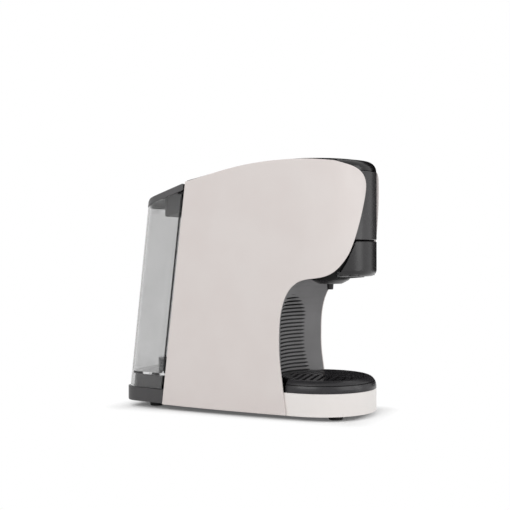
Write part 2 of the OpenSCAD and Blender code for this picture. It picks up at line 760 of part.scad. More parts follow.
// Involute cams: a flat follower under them rises in step with the lever
module lever_cams() color("silver") nose() for (x = [-cam_x - cam_t, cam_x]) translate([x, pin_y, pin_z])
    difference() {
        union() {
            across(0, cam_t, concat([[0, 0]], [for (a = [-5:5:lever_open + 10])
                let (h = cam_h - cam_k * a * PI / 180) h * [sin(a), -cos(a)] - cam_k * [cos(a), sin(a)]]));
            rotate([0, 90, 0]) cylinder(r = cam_hub_r, h = cam_t);
        }
        translate([-1, 0, 0]) rotate([0, 90, 0]) cylinder(r = pin_d / 2 + play, h = cam_t + 2);
    }

boss_r = 20;
module brew_piston() color("silver") nose() difference() {
    union() {
        translate([0, -spout_y, 0]) {
            translate([0, 0, disc_z]) cylinder(r = piston_r, h = disc_t);
            translate([0, 0, disc_z - 3]) cylinder(r = boss_r, h = 4);
            translate([0, 0, disc_z]) cylinder(r = stem_r, h = yoke_top - disc_z);
        }
        block([-spring_x - 5, -spout_y - 9, yoke_low], [spring_x + 5, -spout_y + 9, yoke_top]);
        block([-cam_x - cam_t - 1, -spout_y, yoke_low], [cam_x + cam_t + 1, pin_y + 8, yoke_top]);
    }
    translate([0, -spout_y, 0]) cylinder(r = 2, h = hose_z);
    translate([0, -spout_y, hose_z]) rotate([-90, 0, 0]) cylinder(r = 1.6, h = stem_r + 1);
}
module group_seal() color("firebrick") nose() translate([0, -spout_y, seal_z]) difference() {
    cylinder(r = piston_r, h = seal_t);
    translate([0, 0, -1]) cylinder(r = boss_r + seam, h = seal_t + 2);
}
module shower_screen() color("silver") nose() translate([0, -spout_y, disc_z - 3.8]) difference() {
    cylinder(r = boss_r - 0.4, h = 0.8);
    hole_rings(5.5, 0.9);
}
// Three rings of small holes through a thin disc
module hole_rings(pitch, r) for (i = [1:3], j = [0:6 * i - 1])
    rotate([0, 0, j * 60 / i]) translate([i * pitch, 0, -1]) cylinder(r = r, h = 3, $fn = 24);
spring_x = hub_r + 5.4;
module piston_springs() color("silver") nose() for (s = [-1, 1])
    translate([s * spring_x, -spout_y, bridge_top]) coil_spring(4.4, 0.55, 5, yoke_low - bridge_top);

// ---------- pod drawer ----------

module pod_drawer() color("dimgray") nose() difference() {
    union() {
        intersection() {
            block([-drawer_half_w, -body_r + 8, plate_z], [drawer_half_w, drawer_back, plate_top]);
            plan_prism(body_inset + wall / 2, 0, sky);
        }
        difference() {
            drawer_front(0, fascia_z, slot_low);
            drawer_front(wall, plate_z + 0.5, sky);
        }
    }
    translate([0, -spout_y, 0]) cylinder(r = cup_r + seam, h = sky);
}
// Round front of the drawer with a rounded chin; its sides leave the panels' edges lower down
chin_round = 6.5;
fascia_side = [for (p = [[0, 0], [0, 4.6], [-2.9, 7.7], [-7.1, 16.2], [-9.5, 23], [-9.5, 60]])
    [fascia_back + p[0], head_under + p[1]]];
module drawer_front(inset, low, high) {
    r = chin_round - inset;
    front_r = body_r - inset;
    difference() {
        intersection() {
            rotate_extrude() polygon(concat([[0, high], [0, low]],
                [for (a = [0:15:90]) [front_r - r + r * sin(a), low + r - r * cos(a)]],
                [[front_r, high - slot_chamfer], [front_r - slot_chamfer, high]]));
            translate([0, inset, 0]) across(-100, 100, concat(
                [[-100, head_under]], fascia_side, [[-100, head_under + 60]]));
        }
        if (inset == 0) behind_panel_edge(0.5);
    }
}

module pod_cup() color("silver") nose() translate([0, -spout_y, 0]) difference() {
    union() {
        translate([0, 0, floor_top + 1.5]) cylinder(r = cup_r, h = cup_top - floor_top - 1.5);
        translate([0, 0, plate_top]) cylinder(r = cup_r + 3, h = 2.5);
    }
    translate([0, 0, cup_top - pod_h]) cylinder(r = pod_r, h = pod_h + 1);
    translate([0, 0, 0]) cylinder(r = 3, h = cup_top);
    translate([0, 0, floor_top + 1]) cylinder(r = 14, h = 4);
}
module pod_filter() color("silver") nose() translate([0, -spout_y, cup_top - pod_h]) difference() {
    cylinder(r = pod_r - seam, h = 0.8);
    hole_rings(6, 0.8);
}

// Dish that gathers the coffee under the drawer, with its spout
module coffee_dish() color("dimgray") nose() translate([0, -spout_y, head_under]) difference() {
    union() {
        rotate_extrude() polygon([[0, -dish_depth], [12, -dish_depth], [dish_r - 6, -dish_depth + 1.4],
            [dish_r - 1.5, -dish_depth / 3], [dish_r, -seam], [dish_r - 3.2, -seam],
            [dish_r - 3.2, 1.6], [0, 1.6]]);
        translate([0, 0, -spout_drop]) cylinder(r1 = 3, r2 = 3.8, h = spout_drop - 3);
    }
    rotate_extrude()
        polygon([[0, 2 - dish_depth], [8, 2 - dish_depth], [dish_r - 5, 0], [dish_r - 5, 4], [0, 4]]);
    translate([0, 0, -spout_drop - 1]) cylinder(r = 1.6, h = spout_drop + 4);
}

// ---------- water tank and dock ----------

module tank_dock() color("dimgray") nose() difference() {
    union() {
        dock_block(0, dock_low, dock_top, 0.3, 0);
        dock_block(body_inset + 0.5, dock_low + 2, dock_top - 1, -1 + step, 4);
        leaning_block(dock_top - 1, plinth_top, tank_inset + tank_wall + 2, tank_gap + tank_wall + 1.5);
        translate([0, suction_end, pipe_z]) rotate([-90, 0, 0]) cylinder(r = nipple_r, h = 14);
    }
    difference() {
        dock_recess(0, dock_low - 1, dock_top - wall);
        difference() {
            union() {
                translate([0, valve_y, 0]) cylinder(r = valve_r + 3.5, h = 60);
                translate([gland_x, valve_y, gland_z]) rotate([-90, 0, 0])
                    cylinder(r = gland_r + 2, h = rear_y - valve_y);
                block([-5, 0, pipe_z - 5], [5, valve_y, 40]);
            }
            dock_recess(-1, 0, dock_low + dock_plate_t + seam);
        }
    }
    translate([0, valve_y, dock_top + 3.2]) cylinder(r = valve_r + 0.62, h = 60);
    translate([0, valve_y, pipe_z]) cylinder(r = 1.8, h = 20);
    translate([0, 0, pipe_z]) rotate([-90, 0, 0]) cylinder(r = 1.8, h = valve_y);
    translate([gland_x, 0, gland_z]) rotate([-90, 0, 0]) cylinder(r = gland_r + 0.02, h = rear_y + 1);
}
// Hollow under the dock, that its plate closes
module dock_recess(grow, low, high) intersection() {
    plan_prism(9 + grow, low, high);
    block([-100, edge_y(dock_low) + 6 + grow, low], [100, rear_y - 17 - grow, high]);
}
dock_plate_t = 2;
module dock_plate() color("dimgray") nose() dock_recess(seam, dock_low, dock_low + dock_plate_t);
// Block of the dock in the body's plan, with its rear lower edge rounded
module dock_block(inset, low, high, gap, off) {
    turn = rear_widest_z - low;
    intersection() {
        plan_prism(inset, low, high);
        across(-80, 80, concat(
            [[edge_y(high) + gap, high], [edge_y(low) + gap, low]],
            [for (a = [0:10:90]) [rear_y - off - turn + turn * sin(a), rear_widest_z - turn * cos(a)]],
            [[back_y(high) - off, high]]));
    }
}
gland_len = 20;
gland_x = 12;
gland_z = rear_widest_z + 0.8;
gland_r = 5.5;
cord_bore_r = 3.4;
module cord_gland() color("black") nose() translate([gland_x, rear_y - gland_len, gland_z]) 
    rotate([-90, 0, 0]) difference() {
        cylinder(r = gland_r, h = gland_len - 0.2);
        translate([0, 0, -1]) cylinder(r = cord_bore_r, h = gland_len + 2);
    }
module dock_seal() color("black") nose() translate([0, valve_y, dock_top + 3.2]) difference() {
    cylinder(r = valve_r + 0.6, h = 2);
    translate([0, 0, -1]) cylinder(r = 3.4, h = 5);
}

module water_tank() color("lightgray", 0.5) nose() difference() {
    union() {
        difference() {
            intersection() {
                leaning_block(tank_low, lid_top + 8, tank_inset, tank_gap);
                below_lid(lid_t + 0.3);
            }
            leaning_block(tank_floor + 2, lid_top + 10, tank_inset + tank_wall, tank_gap + tank_wall);
            translate([-60, hinge_y, hinge_z]) rotate([0, 90, 0]) cylinder(r = lid_corner_r + 0.4, h = 120);
        }
        for (s = [-1, 1]) translate([s * (hinge_x + 1.5) - 1.5, hinge_y, hinge_z]) {
            rotate([0, 90, 0]) cylinder(r = 2.8, h = 3);
            across(0, 3, [[-2.8, 0], [2.8, 0], [0, -9], [-3.2, -12]]);
        }
    }
    leaning_block(tank_low - 2, tank_floor - 0.4, tank_inset + tank_wall, tank_gap + tank_wall);
    translate([0, valve_y, tank_floor - 5]) cylinder(r = valve_r - 0.9, h = 20);
    translate([-50, hinge_y, hinge_z]) rotate([0, 90, 0]) cylinder(r = hinge_r, h = 100);
}
// Cap with a rim at the sides and rear; below its front edge it is round about the pin
module tank_lid() color("dimgray") nose() difference() {
    intersection() {
        leaning_block(lid_top - 42, lid_top + 18, tank_inset - 0.3, tank_gap - 0.3);
        lid_outside(0);
        union() {
            block([-100, hinge_y, 150], [100, rear_y, sky]);
            intersection() {
                block([-100, lid_front - 2, hinge_z], [100, hinge_y + 1, sky]);
                translate([-60, hinge_y, hinge_z]) rotate([0, 90, 0]) cylinder(r = lid_corner_r, h = 120);
            }
            translate([-60, hinge_y, hinge_z]) rotate([0, 90, 0]) cylinder(r = hinge_round, h = 120);
        }
    }
    below_lid(lid_t);
    difference() {
        intersection() {
            lid_outside(2.4);
            leaning_block(lid_top - 52, lid_top + 19, tank_inset + 2, -10);
        }
        translate([-hinge_x + 0.3, hinge_y, hinge_z]) rotate([0, 90, 0])
            cylinder(r = 3.4, h = 2 * hinge_x - 0.6);
    }
    grip_shape(0, 20);
    translate([-50, hinge_y, hinge_z]) rotate([0, 90, 0]) cylinder(r = hinge_r + play, h = 100);
    for (s = [-1, 1]) translate([s * (hinge_x + 1.5) - 1.9, hinge_y, hinge_z]) {
        rotate([0, 90, 0]) cylinder(r = 3.2, h = 3.8);
        block([0, -10, -20], [3.8, 0, 3.2]);
    }
}
grip_front = hinge_y + 4;
grip_len = 30;
grip_half_w = 27;
grip_bend = 6;
// Rounded block for the finger cup in the lid, its bottom parallel to the lid
module grip_shape(inset, above) {
    r = 7 - inset;
    w = grip_half_w - inset - r;
    y0 = grip_front + inset;
    y1 = grip_front + grip_len - inset;
    high = lid_top + above;
    function low(y) = [y, lid_plane(y) - grip_depth + inset];
    bend = grip_bend - inset;
    up = [0, bend];
    intersection() {
        slab(0, sky) {
            for (x = [-w, w], y = [y0 + r, y1 - r]) translate([x, y]) circle(r);
            translate([-w - r, y0 + r]) square([2 * (w + r), y1 - y0 - 2 * r]);
            translate([-w, y0]) square([2 * w, y1 - y0]);
        }
        across(-100, 100, concat([[y1, high], [y0, high]],
            bez(low(y0) + up, low(y0) + up / 2, low(y0 + bend / 2), low(y0 + bend), 5),
            bez(low(y1 - bend), low(y1 - bend / 2), low(y1) + up / 2, low(y1) + up, 5), [low(y1) + up]));
    }
}
module lid_grip_cup() color("gray") nose() difference() {
    intersection() {
        grip_shape(seam, 20);
        below_lid(0.3);
    }
    grip_shape(1.8, 30);
}
module lid_pin() color("silver") nose() {
    translate([-hinge_x + 1, hinge_y, hinge_z]) rotate([0, 90, 0]) cylinder(r = hinge_r, h = 2 * hinge_x - 2);
}

valve_top = tank_floor + 14;
module tank_valve() color("gray") nose() translate([0, valve_y, 0]) difference() {
    union() {
        translate([0, 0, tank_floor + 2]) cylinder(r = valve_r + 0.5, h = valve_top - tank_floor - 2);
        translate([0, 0, 26.5]) cylinder(r = valve_r - 1, h = tank_floor - 24);
    }
    translate([0, 0, 29]) cylinder(r = valve_r - 2.4, h = valve_top - 31);
    translate([0, 0, 20]) cylinder(r = 2.2, h = 20);
    for (i = [0:2], a = [0:60:150]) translate([0, 0, tank_floor + 4.5 + i * 3]) rotate([0, 0, a])
        block([-20, -2.4, 0], [20, 2.4, 1.4]);
}
module valve_plunger() color("white") nose() translate([0, valve_y, 0]) {
    translate([0, 0, 27]) cylinder(r = 1.6, h = 4);
    translate([0, 0, 29.4]) cylinder(r = valve_r - 2.9, h = 2);
}
module valve_spring() color("silver") nose() translate([0, valve_y, 31.4])
    coil_spring(3.4, 0.4, 5, valve_top - 2 - 31.4);

// ---------- water path ----------

pump_z = chassis_foot + 3;
pump_len = 84;
pump_nose_r = 9;
coil_low = pump_z + 18;
coil_h = 42;
coil_w = 38;
coil_d = 30;
lug_z = chassis_foot + 26;
lug_t = 2.6;
mount_x = coil_w / 2 + 6;
mount_w = 10;
lug_over = 4;
module pump() color("darkslategray") nose() translate([0, pump_y, 0]) difference() {
    union() {
        translate([0, 0, pump_z]) cylinder(r = pump_nose_r, h = pump_len);
        block([-coil_w / 2, -coil_d / 2, coil_low], [coil_w / 2, coil_d / 2, coil_low + coil_h]);
        block([-mount_x - lug_over, -mount_w, lug_z], [mount_x + lug_over, mount_w, lug_z + lug_t]);
        translate([0, 0, pump_z]) cylinder(r = nipple_r, h = pump_len + 8);
        translate([0, 0, pipe_z]) rotate([-90, 0, 0]) cylinder(r = nipple_r, h = pump_nose_r + nipple_len);
    }
    translate([0, 0, pipe_z]) cylinder(r = nipple_bore_r, h = pump_len + 20);
    translate([0, 0, pipe_z]) rotate([-90, 0, 0]) cylinder(r = nipple_bore_r, h = 40);
}
module pump_mounts() color("black") nose() for (m = [0, 1]) mirror([m, 0, 0]) translate([mount_x, pump_y, 0])
    difference() {
        block([-mount_w / 2, -mount_w - 2, chassis_foot], [mount_w / 2, mount_w + 2, lug_z + lug_t + 5]);
        block([-mount_w, -mount_w - seam, lug_z - seam], [lug_over + seam, mount_w + seam, lug_z + lug_t + seam]);
    }
meter_r = 10;
meter_h = 16;
meter_y = edge_y(pipe_z) - 26;
module flow_meter() color("white") nose() translate([0, meter_y, 0]) difference() {
    union() {
        translate([0, 0, chassis_foot]) cylinder(r = meter_r, h = meter_h);
        translate([0, meter_r + nipple_len, pipe_z]) rotate([90, 0, 0])
            cylinder(r = nipple_r, h = 2 * (meter_r + nipple_len));
    }
    translate([0, 60, pipe_z]) rotate([90, 0, 0]) cylinder(r = nipple_bore_r, h = 120);
    translate([0, 0, chassis_foot + 2]) cylinder(r = meter_r - 2, h = meter_h - 4);
}
boiler_z = shelf_z + 9;
boiler_h = 70;
boiler_w = 54;
boiler_d = 44;
boiler_y = chassis_y + 9;
fin_pitch = 10;
fin_t = 4;
fin_reach = 5;
module thermoblock() color("silver") nose() difference() {
    union() {
        block([-boiler_w / 2, boiler_y, boiler_z], [boiler_w / 2, boiler_y + boiler_d, boiler_z + boiler_h]);
        for (z = [fin_pitch:fin_pitch:boiler_h - fin_pitch])
            block([-boiler_w / 2 - fin_reach, boiler_y + 2, boiler_z + z],
                [boiler_w / 2 + fin_reach, boiler_y + boiler_d - 2, boiler_z + z + fin_t]);
        translate([0, pump_y, boiler_z - 7]) cylinder(r = nipple_r, h = boiler_h + 10);
    }
    translate([0, pump_y, boiler_z - 10]) cylinder(r = nipple_bore_r, h = boiler_h + 20);
}
module boiler_feet() color("ivory") nose() for (x = [-1, 1], y = [8, boiler_d - 8])
    translate([x * (boiler_w / 2 - 7), boiler_y + y, shelf_z + shelf_t])
        cylinder(r = 5, h = boiler_z - shelf_z - shelf_t);

hose_in = nipple_r + 0.05;
hose_out = nipple_r + 1.6;
module straight_hose(start, len, up) translate(start) rotate([up ? 0 : -90, 0, 0]) difference() {
    cylinder(r = hose_out, h = len);
    translate([0, 0, -1]) cylinder(r = hose_in, h = len + 2);
}
module suction_hose() color("ivory") nose() straight_hose(
    [0, meter_y + meter_r + 0.3, pipe_z], edge_y(pipe_z) - wall - 2 - meter_y - meter_r, false);
module meter_hose() color("ivory") nose() straight_hose(
    [0, pump_y + pump_nose_r + 0.3, pipe_z], meter_y - meter_r - pump_y - pump_nose_r - 0.6, false);
module pump_hose() color("ivory") nose()
    straight_hose([0, pump_y, pump_z + pump_len + 0.3], boiler_z - pump_z - pump_len - 0.6, true);
module brew_hose() color("ivory") nose() difference() {
    brew_start = [0, -spout_y + hub_r + 0.5, hose_z];
    brew_end = [0, pump_y, boiler_z + boiler_h + 0.3];
    hose_y_then_z(brew_start, brew_end, hose_out - 0.7, 6, 0);
    hose_y_then_z(brew_start, brew_end, hose_in, 6, 1);
}

// ---------- controls ----------

module control_board() color("darkgreen") nose() {
    block([-board_half_w, board_y, board_z], [board_half_w, board_end_y, board_z + board_t]);
    block([18, board_y + 11, board_z], [30, board_y + 27, board_z + board_t + 8]);
    block([-30, board_end_y - 20, board_z], [-16, board_end_y - 8, board_z + board_t + 7]);
    translate([-24, board_y + 29, board_z]) cylinder(r = 5, h = board_t + 9);
}
module button(i) nose() {
    y = button_y0 + i * button_pitch;
    intersection() {
        translate([0, y, 0]) difference() {
            union() {
                translate([0, 0, button_seat]) cylinder(d = button_d, h = 60);
                translate([0, 0, button_seat]) cylinder(d = button_d + 3, h = 2);
            }
            translate([0, 0, button_seat - 1]) cylinder(d = button_d - 4, h = 3);
        }
        under_crown(-0.8);
    }
}
module button_power() color("silver") button(0);
module button_short() color("silver") button(1);
module button_long() color("silver") button(2);
module button_spring(i) color("silver") nose() translate([0, button_y0 + i * button_pitch, board_z + board_t])
    coil_spring(4.2, 0.4, 5, button_seat + 2 - board_z - board_t);
module spring_power() button_spring(0);
module spring_short() button_spring(1);
module spring_long() button_spring(2);
module indicator_lens() color("orange") nose() intersection() {
    translate([button_d * 0.9, lens_y, button_seat]) cylinder(d = 4, h = 60);
    under_crown(-0.3);
}

module nose() translate([0, nose_y, 0]) children();

base_plate();
base_skirt();
feet();
base_screws();
side_panel_left();
side_panel_right();
rear_cover();
top_cover();
head_front_cover();
head_deck();
head_floor();
bay_wall();
drip_tray();
drip_grid();
chassis();
group_bridge();
bridge_screws();
lever();
lever_pin();
lever_cams();
brew_piston();
group_seal();
shower_screen();
piston_springs();
drawer_rails();
pod_drawer();
pod_cup();
pod_filter();
coffee_dish();
tank_dock();
dock_plate();
dock_seal();
cord_gland();
water_tank();
tank_lid();
lid_grip_cup();
lid_pin();
tank_valve();
valve_plunger();
valve_spring();
pump();
pump_mounts();
flow_meter();
thermoblock();
boiler_feet();
suction_hose();
meter_hose();
pump_hose();
brew_hose();
control_board();
button_power();
button_short();
button_long();
spring_power();
spring_short();
spring_long();
indicator_lens();
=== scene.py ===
"""Pod coffee machine: finishes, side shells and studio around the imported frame."""

import math

import bpy
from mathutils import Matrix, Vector


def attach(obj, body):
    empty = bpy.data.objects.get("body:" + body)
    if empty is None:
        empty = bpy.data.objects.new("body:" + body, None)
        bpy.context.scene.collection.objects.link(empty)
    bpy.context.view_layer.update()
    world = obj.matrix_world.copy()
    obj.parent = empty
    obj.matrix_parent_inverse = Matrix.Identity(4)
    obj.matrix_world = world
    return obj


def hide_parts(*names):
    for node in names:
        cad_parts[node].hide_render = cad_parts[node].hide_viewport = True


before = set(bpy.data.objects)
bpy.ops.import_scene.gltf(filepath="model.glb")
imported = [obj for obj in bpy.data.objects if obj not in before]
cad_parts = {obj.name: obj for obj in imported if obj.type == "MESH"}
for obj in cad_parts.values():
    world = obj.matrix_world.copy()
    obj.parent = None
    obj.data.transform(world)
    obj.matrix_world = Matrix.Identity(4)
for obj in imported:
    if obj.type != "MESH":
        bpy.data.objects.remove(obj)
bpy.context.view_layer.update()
bpy.ops.object.select_all(action="DESELECT")
MM = 0.001
DRIFT_MM = 45                      # a moulding's tone wanders over about this length
SHEEN_MM = 12                      # and its sheen over this one


# ---------- materials ----------

def colour(hexa, alpha=1.0):
    """sRGB hex to the linear value that a shader socket takes."""
    parts = [int(hexa[i:i + 2], 16) / 255 for i in (0, 2, 4)]
    lin = [c / 12.92 if c <= 0.04045 else ((c + 0.055) / 1.055) ** 2.4 for c in parts]
    return (*lin, alpha)


def add(tree, kind, sets=None, links=None, **props):
    """Adds one node, sets its properties and sockets, and links its inputs."""
    node = tree.nodes.new(kind)
    for key, value in props.items():
        setattr(node, key, value)
    for key, value in (sets or {}).items():
        node.inputs[key].default_value = value
    for key, source in (links or {}).items():
        tree.links.new(source, node.inputs[key])
    return node


def start(name, **sockets):
    """New material with its shader's constant sockets set."""
    mat = bpy.data.materials.new(name)
    mat.use_nodes = True
    tree = mat.node_tree
    shader = tree.nodes["Principled BSDF"]
    for key, value in sockets.items():
        shader.inputs[key.replace("_", " ")].default_value = value
    place = add(tree, "ShaderNodeTexCoord").outputs["Object"]
    return mat, tree, shader, place


def grains(tree, place, size_mm, detail=2.0, stretch=(1, 1, 1)):
    """Noise whose features are about size_mm across."""
    mapping = add(tree, "ShaderNodeMapping", {"Scale": stretch}, {"Vector": place})
    return add(tree, "ShaderNodeTexNoise", {"Scale": 1 / (size_mm * MM), "Detail": detail},
               {"Vector": mapping.outputs[0]}).outputs["Fac"]


def shade(tree, shader, field, low, high, dark, light):
    """Base colour that wanders between two close tones with the field."""
    ramp = add(tree, "ShaderNodeMapRange", {"From Min": low, "From Max": high}, {"Value": field})
    mix = add(tree, "ShaderNodeMix", None, {"Factor": ramp.outputs[0]}, data_type="RGBA")
    mix.inputs[6].default_value = colour(dark)
    mix.inputs[7].default_value = colour(light)
    tree.links.new(mix.outputs[2], shader.inputs["Base Color"])


def rough(tree, shader, field, low, high):
    """Roughness that wanders between two values with the field."""
    ramp = add(tree, "ShaderNodeMapRange",
               {"From Min": 0.3, "From Max": 0.7, "To Min": low, "To Max": high}, {"Value": field})
    tree.links.new(ramp.outputs[0], shader.inputs["Roughness"])


def bump(tree, shader, field, depth_mm):
    """Surface relief of the given depth, from the field."""
    node = add(tree, "ShaderNodeBump", {"Strength": 1.0, "Distance": depth_mm * MM}, {"Height": field})
    tree.links.new(node.outputs[0], shader.inputs["Normal"])


def moulded(name, dark, light, rough_low, rough_high, grain_mm, depth_mm, **sockets):
    """Injection-moulded plastic: slow tone drift, a fine tool texture, uneven sheen."""
    mat, tree, shader, place = start(name, **sockets)
    shade(tree, shader, grains(tree, place, DRIFT_MM), 0.35, 0.65, dark, light)
    rough(tree, shader, grains(tree, place, SHEEN_MM, 3), rough_low, rough_high)
    bump(tree, shader, grains(tree, place, grain_mm, 3), depth_mm)
    return mat


def paint_groove_shade(mat, reach_mm, low, high):
    """Darkens the base colour in grooves narrower than the reach: painted shade where the grooves fall into
    shadow.
    """
    tree = mat.node_tree
    socket = tree.nodes["Principled BSDF"].inputs["Base Color"]
    tone = socket.links[0].from_socket
    open_air = add(tree, "ShaderNodeAmbientOcclusion", {"Distance": reach_mm * MM})
    share = add(tree, "ShaderNodeMapRange", {"From Min": low, "From Max": high},
                {"Value": open_air.outputs["AO"]})
    both = add(tree, "ShaderNodeMix", None, {"Factor": share.outputs[0]}, data_type="RGBA")
    # the near-black of the painted groove shade
    both.inputs[6].default_value = colour("0C0C0C")
    tree.links.new(tone, both.inputs[7])
    tree.links.new(both.outputs[2], socket)


def worked_metal(name, dark, light, rough_low, rough_high, line_mm, stretch, depth_mm):
    """Metal with the tone and the fine lines or pits of its making."""
    mat, tree, shader, place = start(name, Metallic=1.0)
    lines = grains(tree, place, line_mm, 3, stretch)
    shade(tree, shader, lines, 0.3, 0.7, dark, light)
    rough(tree, shader, lines, rough_low, rough_high)
    bump(tree, shader, lines, depth_mm)
    return mat


# Satin ABS shells: even warm grey with a soft broad sheen
WARM_ABS = moulded("warm_grey_satin_abs", "D2CAC7", "D4CDCA", 0.36, 0.44, 0.9, 0.012)
# The skirt's ABS is from another mould and reads a little lighter
SKIRT_ABS = moulded("pale_satin_abs_skirt", "E2DDDA", "E5E1DE", 0.36, 0.44, 0.9, 0.012)
# Black ABS head cover: dark, with a soft highlight down the round front
CHARCOAL_ABS = moulded("charcoal_satin_abs", "353435", "3A393A", 0.24, 0.31, 0.8, 0.01,
                       Specular_IOR_Level=0.3)
# The crown and its lever are polished: near black, with sharper reflections
CROWN_ABS = moulded("polished_black_abs", "171617", "1B1A1B", 0.14, 0.20, 0.8, 0.006, Specular_IOR_Level=0.3)
# The drawer is a shade darker than the cover over it, so the two read as separate mouldings
DRAWER_ABS = moulded("charcoal_abs_drawer", "272627", "2B2A2B", 0.22, 0.29, 0.8, 0.01, Specular_IOR_Level=0.3)
# The tray and its grid: the same black as the drawer, with a sheen just softer
TRAY_ABS = moulded("charcoal_abs_tray", "2A292B", "2F2E30", 0.24, 0.32, 0.8, 0.01, Specular_IOR_Level=0.3)
# Grey unpainted ABS of the bay: matte, with its ribs pale and painted shade darkening the grooves between
# them
RIBBED_ABS = moulded("matte_grey_ribbed_abs", "6A696A", "737273", 0.50, 0.60, 0.5, 0.02)
paint_groove_shade(RIBBED_ABS, 2.5, 0.55, 0.85)
# Spark-textured polypropylene: dull black inner and lower mouldings
SPARK_PP = moulded("spark_textured_black_pp", "2A2A2B", "303031", 0.55, 0.68, 0.6, 0.06)
# Black polypropylene inside the head, made darker still as painted shade: the recessed ring and the seams
# beside it read as black shadow lines
BLACK_PP_PAINTED_SHADE = moulded("dull_black_pp_painted_shade", "121212", "161616", 0.6, 0.7, 0.7, 0.03, Specular_IOR_Level=0.15)
# The dock under the tank: lighter than the black parts, with a satin bloom
DOCK_ABS = moulded("charcoal_abs_dock", "3E3D3E", "454445", 0.38, 0.48, 0.7, 0.02, Specular_IOR_Level=0.3)
# The tank's lid: dark grey satin that sets it apart from the crown
LID_ABS = moulded("charcoal_abs_lid", "474647", "4E4D4E", 0.34, 0.44, 0.8, 0.012)
# The lid's grip cup: a paler, duller moulding seen through the clear wall
GRIP_ABS = moulded("grey_abs_grip", "5C5B5C", "646364", 0.45, 0.55, 0.6, 0.02)
# Natural acetal: milky white and slightly waxy
ACETAL = moulded("natural_acetal", "DAD9D2", "E2E1DB", 0.42, 0.52, 0.8, 0.01)
# The same plastic dyed mid grey
GREY_ACETAL = moulded("grey_acetal", "7C7D7E", "868788", 0.42, 0.52, 0.8, 0.01)
# Phenolic spacers under the boiler: dry biscuit tan
HEATPROOF = moulded("heatproof_phenolic_tan", "B9AE90", "C4B99B", 0.55, 0.65, 0.6, 0.03)
# Glass-filled nylon: blue-black, with fibres that break up its sheen
PUMP_CASE = moulded("glass_filled_nylon_case", "33383A", "3C4244", 0.5, 0.62, 0.5, 0.05)
# Nitrile rubber: flat black with hardly any highlight
RUBBER = moulded("black_nitrile_rubber", "191919", "202020", 0.72, 0.85, 0.7, 0.04)
# The brew seal's silicone, darkened to dark brown as painted shade so the seam over the drawer stays dark
SEAL_SILICONE_PAINTED_SHADE = moulded("silicone_darkened_as_painted_shade", "221311", "281715", 0.55, 0.68, 0.8, 0.02,
                        Specular_IOR_Level=0.2)
# Silicone hose: milky, and a little light passes into it
HOSE_SILICONE = moulded("milky_silicone_hose", "D2D0C6", "DCDAD1", 0.45, 0.6, 0.8, 0.02,
                        Subsurface_Weight=0.15, Subsurface_Radius=(0.004, 0.004, 0.0035))

# Die-cast and shot-blasted: an even grey with fine pits
CAST_ALU = worked_metal("shot_blasted_cast_aluminium", "9FA1A2", "B3B5B6", 0.38, 0.52,
                        0.7, (1, 1, 1), 0.05)
# Button caps: lines brushed across the machine spread the highlight along it
BRUSHED_ALU = worked_metal("brushed_aluminium_button", "AEB0B2", "C6C8CA", 0.26, 0.40,
                           0.35, (1, 14, 14), 0.01)
# Zinc plate: bluish, in broad soft patches
ZINC = worked_metal("zinc_plated_folded_steel", "8E9296", "A4A8AC", 0.34, 0.5, 4, (1, 1, 1), 0.02)
# Ground pins and cams: bright, with fine lines round them
GROUND_STEEL = worked_metal("ground_steel_pin", "A6A6A6", "BDBDBD", 0.18, 0.3, 0.4, (12, 1, 1), 0.005)
# Drawn wire: darker steel with lines along it
SPRING_STEEL = worked_metal("drawn_spring_wire", "8B8B8C", "A3A3A4", 0.25, 0.38, 0.5, (1, 1, 8), 0.005)
# Stainless sheet: pale, with the lines of its rolling
PUNCHED_STEEL = worked_metal("punched_stainless_sheet", "B1B1B0", "C4C4C3", 0.24, 0.36,
                             0.5, (10, 1, 1), 0.008)


def solder_resist():
    """Green board lacquer over copper tracks laid on a square grid."""
    mat, tree, shader, place = start("green_solder_resist", Roughness=0.3, Coat_Weight=0.4)
    tracks = add(tree, "ShaderNodeTexBrick", {"Scale": 1 / (9 * MM), "Mortar Size": 0.06}, {"Vector": place})
    shade(tree, shader, tracks.outputs["Fac"], 0.0, 1.0, "0E4A2A", "1B6A3F")
    bump(tree, shader, tracks.outputs["Fac"], 0.04)
    return mat


def clear_plastic():
    """Clear SAN: see-through, faintly smoky, with slow flow waves from moulding."""
    mat, tree, shader, place = start("clear_moulded_san", IOR=1.57, Transmission_Weight=1.0)
    shade(tree, shader, grains(tree, place, 60), 0.35, 0.65, "D5D5D5", "DADADA")
    rough(tree, shader, grains(tree, place, 15, 2), 0.02, 0.05)
    bump(tree, shader, grains(tree, place, 40, 1), 0.02)
    return mat


def amber_lens():
    """Amber acrylic: a warm dot that light partly passes through."""
    mat, tree, shader, place = start("amber_acrylic_lens", IOR=1.49, Roughness=0.2,
                                     Transmission_Weight=0.5)
    shade(tree, shader, grains(tree, place, 2), 0.3, 0.7, "E08A2C", "F0A040")
    return mat


CLEAR = clear_plastic()
RESIST = solder_resist()
AMBER = amber_lens()

